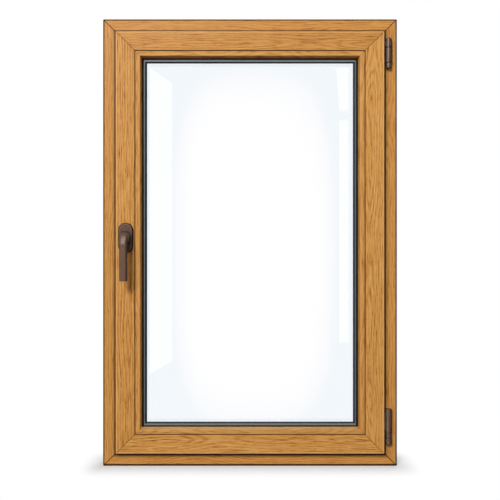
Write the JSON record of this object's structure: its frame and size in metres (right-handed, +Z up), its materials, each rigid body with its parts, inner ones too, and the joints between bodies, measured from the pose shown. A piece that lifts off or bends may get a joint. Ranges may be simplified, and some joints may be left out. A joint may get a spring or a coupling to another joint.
{
  "type": "pvc window",
  "caption": "Tilt-and-turn PVC window in golden oak foil: mitred frame, glazed sash with beads and seals, turning lever handle and side hinges.",
  "frame": {"origin": "middle of the frame sill's flat underside, half way through the frame's depth", "axes": "+X to the right as seen from the room, +Y towards the weather side, +Z up"},
  "size_m": [0.75, 0.1441, 1.14],
  "materials": {
    "oak_foil": "PVC profile with a satin golden oak grained foil",
    "black_rubber": "matt black seal",
    "grey_rubber": "dark grey satin seal",
    "clear_glass": "clear float glass",
    "spacer_grey": "dark grey warm-edge spacer",
    "bronze_paint": "satin bronze-brown paint on cast metal",
    "hinge_brown": "satin bronze-brown paint",
    "cap_brown": "caramel brown moulded plastic"
  },
  "bodies": {
    "window": {"bead_bottom": "oak_foil", "bead_left": "oak_foil", "bead_right": "oak_foil", "bead_top": "oak_foil", "drain_cap_left": "cap_brown", "drain_cap_right": "cap_brown", "frame_head": "oak_foil", "frame_left_jamb": "oak_foil", "frame_right_jamb": "oak_foil", "frame_seal": "black_rubber", "frame_sill": "oak_foil", "glass_spacer": "spacer_grey", "handle_rosette": "bronze_paint", "inner_glazing_seal": "grey_rubber", "inner_pane": "clear_glass", "lower_hinge_band": "hinge_brown", "lower_hinge_collar": "hinge_brown", "lower_hinge_pivot": "hinge_brown", "outer_glazing_seal": "black_rubber", "outer_pane": "clear_glass", "sash_bottom_rail": "oak_foil", "sash_left_stile": "oak_foil", "sash_right_stile": "oak_foil", "sash_seal": "black_rubber", "sash_top_rail": "oak_foil", "upper_hinge_bearing": "hinge_brown", "upper_hinge_knuckle": "hinge_brown", "upper_hinge_pin": "hinge_brown"},
    "handle": {"handle_lever": "bronze_paint"}
  },
  "joints": [
    {"name": "handle_turn", "type": "hinge", "parent": "window", "child": "handle", "pos_m": [-0.3145, -0.0574, 0.5815], "axis": [0, -1, 0], "range_deg": [0, 180]}
  ]
}
